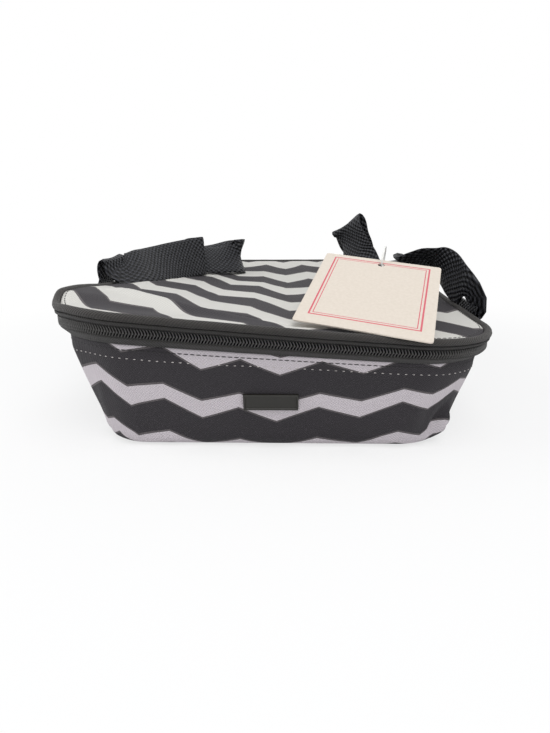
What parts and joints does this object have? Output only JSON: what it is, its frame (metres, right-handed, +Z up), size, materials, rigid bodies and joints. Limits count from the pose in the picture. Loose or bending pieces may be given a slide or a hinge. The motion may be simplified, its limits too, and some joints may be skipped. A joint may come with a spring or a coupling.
{
  "type": "insulated tote bag",
  "caption": "Flat insulated tote with a padded hinged lid, a zip round three sides, rolled binding and two fallen black webbing handles, printed with zigzag stripes.",
  "frame": {"origin": "middle of the base panel's underside, on the table", "axes": "+Z up; the labelled short side faces -Y and the lid's hinge is at +Y; the handles are at -X and +X"},
  "size_m": [0.3086, 0.3905, 0.146],
  "materials": {
    "printed_canvas": "matte woven canvas, printed with charcoal and off-white zigzag stripes",
    "plain_canvas": "matte woven canvas",
    "insulating_foam": "soft closed-cell foam sheet",
    "silver_lining": "welded lining film with a silver sheen",
    "black_binding": "folded woven binding",
    "zip_tape": "fine woven tape",
    "zip_teeth": "nylon coil, slightly glossy",
    "slider_metal": "dark enamel",
    "black_webbing": "coarse woven webbing",
    "label_rubber": "moulded, satin",
    "card": "coated card, matte",
    "clear_loop": "thin white plastic"
  },
  "bodies": {
    "tub": {"outer_wall": "printed_canvas", "outer_base": "plain_canvas", "base_insulation": "insulating_foam", "wall_insulation": "insulating_foam", "liner": "silver_lining", "lower_zip_tape": "zip_tape", "lower_zip_teeth": "zip_teeth", "hinge_strip_lower": "black_binding", "zip_stop_left": "slider_metal", "zip_stop_right": "slider_metal", "label_patch": "label_rubber", "handle_end_left_front": "black_webbing", "handle_end_left_rear": "black_webbing", "handle_end_right_front": "black_webbing", "handle_end_right_rear": "black_webbing"},
    "lid": {"lid_cover": "printed_canvas", "lid_insulation": "insulating_foam", "lid_liner": "silver_lining", "lid_binding": "black_binding", "upper_zip_tape": "zip_tape", "upper_zip_teeth": "zip_teeth", "hinge_strip_upper": "black_binding"},
    "left_handle": {"handle_left": "black_webbing"},
    "right_handle": {"handle_right": "black_webbing"},
    "slider": {"zip_slider": "slider_metal", "zip_slider_back": "slider_metal"},
    "pull": {"zip_pull": "slider_metal"},
    "card": {"care_card": "card", "card_loop": "clear_loop"}
  },
  "joints": [
    {"name": "lid_open", "type": "hinge", "parent": "tub", "child": "lid", "pos_m": [0, 0.1902, 0.0793], "axis": [-1, 0, 0], "range_deg": [0, 170], "deforming": ["handle_left", "handle_right"]},
    {"name": "handle_left_swing", "type": "hinge", "parent": "tub", "child": "left_handle", "pos_m": [-0.1482, 0, 0.09315], "axis": [0, -1, 0], "range_deg": [0, 110], "deforming": ["handle_end_left_front", "handle_end_left_rear"]},
    {"name": "handle_right_swing", "type": "hinge", "parent": "tub", "child": "right_handle", "pos_m": [0.1482, -0.0095, 0.08539], "axis": [0, 0.9986, 0.0538], "range_deg": [0, 110], "deforming": ["handle_end_right_front", "handle_end_right_rear"]},
    {"name": "zip_slide", "type": "slide", "parent": "tub", "child": "slider", "axis": [0, -1, 0], "range_m": [0, 0.12]},
    {"name": "pull_swing", "type": "hinge", "parent": "slider", "child": "pull", "pos_m": [-0.143, 0.12, 0.0793], "axis": [0, 0, 1], "range_deg": [0, 150]},
    {"name": "card_lift", "type": "hinge", "parent": "lid", "child": "card", "pos_m": [0.07575, -0.102, 0.1142], "axis": [-0.9616, 0.2506, 0.1123], "range_deg": [0, 70]}
  ]
}
